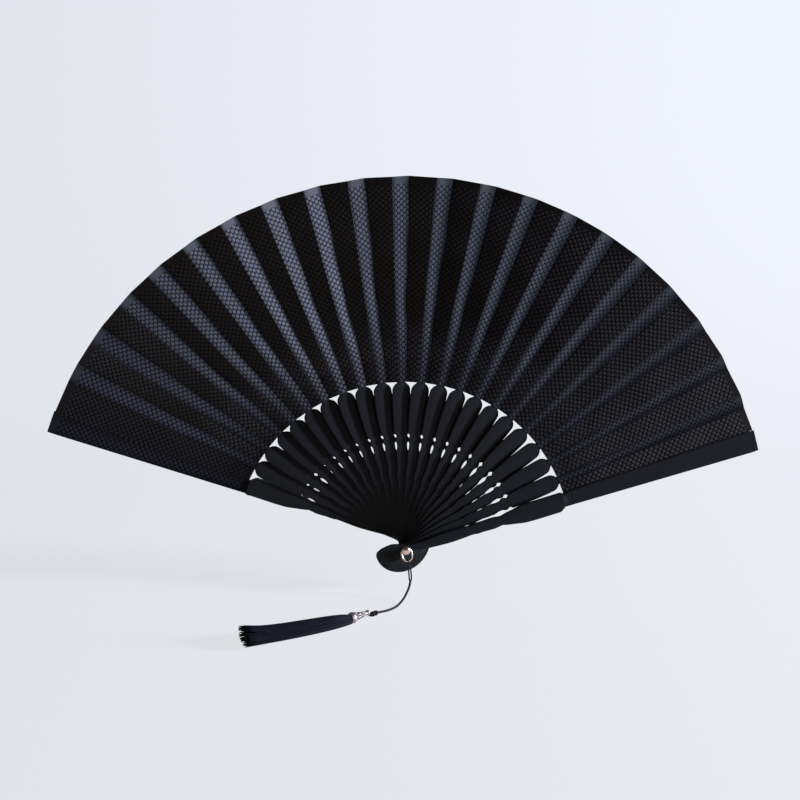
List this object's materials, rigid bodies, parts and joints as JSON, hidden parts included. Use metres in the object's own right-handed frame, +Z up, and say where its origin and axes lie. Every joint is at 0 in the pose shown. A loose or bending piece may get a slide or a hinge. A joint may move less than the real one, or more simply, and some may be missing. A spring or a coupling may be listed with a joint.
{
  "type": "folding fan",
  "caption": "Folding hand fan, open and upright: carved black ribs between two guards on one rivet, a pleated black cloth leaf and a corded tassel.",
  "frame": {"origin": "on the rivet's axis, at the middle of the closed stack of sticks", "axes": "+Z up from the rivet through the middle of the open fan, +X along its width towards the front guard, -Y out of its front face, along the rivet"},
  "size_m": [0.4075, 0.095, 0.241],
  "materials": {
    "black_bamboo": "satin black paint",
    "black_cloth": "figured weave with a soft sheen",
    "rose_gold": "polished rose-gold plate",
    "antique_silver": "antiqued silver-rose filigree",
    "black_cord": "braided cord",
    "black_silk": "silk floss"
  },
  "bodies": {
    "back_guard": {"back_guard": "black_bamboo", "leaf_01": "black_cloth", "rivet_pin": "rose_gold", "rivet_cap": "rose_gold", "cord_loop": "black_cord", "cord": "black_cord", "tassel_knot": "black_cord", "tassel_cap": "antique_silver", "tassel_skirt": "black_silk"},
    "rib_01": {"rib_01": "black_bamboo", "leaf_02": "black_cloth"},
    "rib_02": {"rib_02": "black_bamboo", "leaf_03": "black_cloth"},
    "rib_03": {"rib_03": "black_bamboo", "leaf_04": "black_cloth"},
    "rib_04": {"rib_04": "black_bamboo", "leaf_05": "black_cloth"},
    "rib_05": {"rib_05": "black_bamboo", "leaf_06": "black_cloth"},
    "rib_06": {"rib_06": "black_bamboo", "leaf_07": "black_cloth"},
    "rib_07": {"rib_07": "black_bamboo", "leaf_08": "black_cloth"},
    "rib_08": {"rib_08": "black_bamboo", "leaf_09": "black_cloth"},
    "rib_09": {"rib_09": "black_bamboo", "leaf_10": "black_cloth"},
    "rib_10": {"rib_10": "black_bamboo", "leaf_11": "black_cloth"},
    "rib_11": {"rib_11": "black_bamboo", "leaf_12": "black_cloth"},
    "rib_12": {"rib_12": "black_bamboo", "leaf_13": "black_cloth"},
    "rib_13": {"rib_13": "black_bamboo", "leaf_14": "black_cloth"},
    "rib_14": {"rib_14": "black_bamboo", "leaf_15": "black_cloth"},
    "rib_15": {"rib_15": "black_bamboo", "leaf_16": "black_cloth"},
    "rib_16": {"rib_16": "black_bamboo", "leaf_17": "black_cloth"},
    "rib_17": {"rib_17": "black_bamboo", "leaf_18": "black_cloth"},
    "rib_18": {"rib_18": "black_bamboo", "leaf_19": "black_cloth"},
    "rib_19": {"rib_19": "black_bamboo", "leaf_20": "black_cloth"},
    "rib_20": {"rib_20": "black_bamboo", "leaf_21": "black_cloth"},
    "front_guard": {"front_guard": "black_bamboo"},
    "ring": {"cord_ring": "rose_gold"}
  },
  "joints": [
    {"name": "fold_01", "type": "hinge", "parent": "back_guard", "child": "rib_01", "pos_m": [0, 0, 0], "axis": [0, 1, 0], "range_deg": [-8.3, 0], "deforming": ["leaf_01"]},
    {"name": "fold_02", "type": "hinge", "parent": "rib_01", "child": "rib_02", "pos_m": [0, 0, 0], "axis": [0, 1, 0], "range_deg": [-6.65, 0], "deforming": ["leaf_02"]},
    {"name": "fold_03", "type": "hinge", "parent": "rib_02", "child": "rib_03", "pos_m": [0, 0, 0], "axis": [0, 1, 0], "range_deg": [-7.15, 0], "deforming": ["leaf_03"]},
    {"name": "fold_04", "type": "hinge", "parent": "rib_03", "child": "rib_04", "pos_m": [0, 0, 0], "axis": [0, 1, 0], "range_deg": [-6.15, 0], "deforming": ["leaf_04"]},
    {"name": "fold_05", "type": "hinge", "parent": "rib_04", "child": "rib_05", "pos_m": [0, 0, 0], "axis": [0, 1, 0], "range_deg": [-6.65, 0], "deforming": ["leaf_05"]},
    {"name": "fold_06", "type": "hinge", "parent": "rib_05", "child": "rib_06", "pos_m": [0, 0, 0], "axis": [0, 1, 0], "range_deg": [-6.65, 0], "deforming": ["leaf_06"]},
    {"name": "fold_07", "type": "hinge", "parent": "rib_06", "child": "rib_07", "pos_m": [0, 0, 0], "axis": [0, 1, 0], "range_deg": [-6.65, 0], "deforming": ["leaf_07"]},
    {"name": "fold_08", "type": "hinge", "parent": "rib_07", "child": "rib_08", "pos_m": [0, 0, 0], "axis": [0, 1, 0], "range_deg": [-6.65, 0], "deforming": ["leaf_08"]},
    {"name": "fold_09", "type": "hinge", "parent": "rib_08", "child": "rib_09", "pos_m": [0, 0, 0], "axis": [0, 1, 0], "range_deg": [-6.65, 0], "deforming": ["leaf_09"]},
    {"name": "fold_10", "type": "hinge", "parent": "rib_09", "child": "rib_10", "pos_m": [0, 0, 0], "axis": [0, 1, 0], "range_deg": [-6.65, 0], "deforming": ["leaf_10"]},
    {"name": "fold_11", "type": "hinge", "parent": "rib_10", "child": "rib_11", "pos_m": [0, 0, 0], "axis": [0, 1, 0], "range_deg": [-6.65, 0], "deforming": ["leaf_11"]},
    {"name": "fold_12", "type": "hinge", "parent": "rib_11", "child": "rib_12", "pos_m": [0, 0, 0], "axis": [0, 1, 0], "range_deg": [-6.65, 0], "deforming": ["leaf_12"]},
    {"name": "fold_13", "type": "hinge", "parent": "rib_12", "child": "rib_13", "pos_m": [0, 0, 0], "axis": [0, 1, 0], "range_deg": [-6.65, 0], "deforming": ["leaf_13"]},
    {"name": "fold_14", "type": "hinge", "parent": "rib_13", "child": "rib_14", "pos_m": [0, 0, 0], "axis": [0, 1, 0], "range_deg": [-6.65, 0], "deforming": ["leaf_14"]},
    {"name": "fold_15", "type": "hinge", "parent": "rib_14", "child": "rib_15", "pos_m": [0, 0, 0], "axis": [0, 1, 0], "range_deg": [-6.65, 0], "deforming": ["leaf_15"]},
    {"name": "fold_16", "type": "hinge", "parent": "rib_15", "child": "rib_16", "pos_m": [0, 0, 0], "axis": [0, 1, 0], "range_deg": [-6.65, 0], "deforming": ["leaf_16"]},
    {"name": "fold_17", "type": "hinge", "parent": "rib_16", "child": "rib_17", "pos_m": [0, 0, 0], "axis": [0, 1, 0], "range_deg": [-6.85, 0], "deforming": ["leaf_17"]},
    {"name": "fold_18", "type": "hinge", "parent": "rib_17", "child": "rib_18", "pos_m": [0, 0, 0], "axis": [0, 1, 0], "range_deg": [-7.05, 0], "deforming": ["leaf_18"]},
    {"name": "fold_19", "type": "hinge", "parent": "rib_18", "child": "rib_19", "pos_m": [0, 0, 0], "axis": [0, 1, 0], "range_deg": [-7.05, 0], "deforming": ["leaf_19"]},
    {"name": "fold_20", "type": "hinge", "parent": "rib_19", "child": "rib_20", "pos_m": [0, 0, 0], "axis": [0, 1, 0], "range_deg": [-6.98, 0], "deforming": ["leaf_20"]},
    {"name": "fold_21", "type": "hinge", "parent": "rib_20", "child": "front_guard", "pos_m": [0, 0, 0], "axis": [0, 1, 0], "range_deg": [-6.97, 0], "deforming": ["leaf_21"]},
    {"name": "ring_swing", "type": "hinge", "parent": "back_guard", "child": "ring", "pos_m": [0, -0.01234, 0], "axis": [0, 1, 0], "range_deg": [-10, 4]}
  ],
  "couplings": [
    {"joint": "fold_02", "follows": "fold_01", "ratio": 0.80089},
    {"joint": "fold_03", "follows": "fold_01", "ratio": 0.86095},
    {"joint": "fold_04", "follows": "fold_01", "ratio": 0.74082},
    {"joint": "fold_05", "follows": "fold_01", "ratio": 0.80089},
    {"joint": "fold_06", "follows": "fold_01", "ratio": 0.80089},
    {"joint": "fold_07", "follows": "fold_01", "ratio": 0.80089},
    {"joint": "fold_08", "follows": "fold_01", "ratio": 0.80089},
    {"joint": "fold_09", "follows": "fold_01", "ratio": 0.80089},
    {"joint": "fold_10", "follows": "fold_01", "ratio": 0.80089},
    {"joint": "fold_11", "follows": "fold_01", "ratio": 0.80089},
    {"joint": "fold_12", "follows": "fold_01", "ratio": 0.80089},
    {"joint": "fold_13", "follows": "fold_01", "ratio": 0.80089},
    {"joint": "fold_14", "follows": "fold_01", "ratio": 0.80089},
    {"joint": "fold_15", "follows": "fold_01", "ratio": 0.80089},
    {"joint": "fold_16", "follows": "fold_01", "ratio": 0.80089},
    {"joint": "fold_17", "follows": "fold_01", "ratio": 0.82491},
    {"joint": "fold_18", "follows": "fold_01", "ratio": 0.84894},
    {"joint": "fold_19", "follows": "fold_01", "ratio": 0.84894},
    {"joint": "fold_20", "follows": "fold_01", "ratio": 0.84093},
    {"joint": "fold_21", "follows": "fold_01", "ratio": 0.83982}
  ]
}
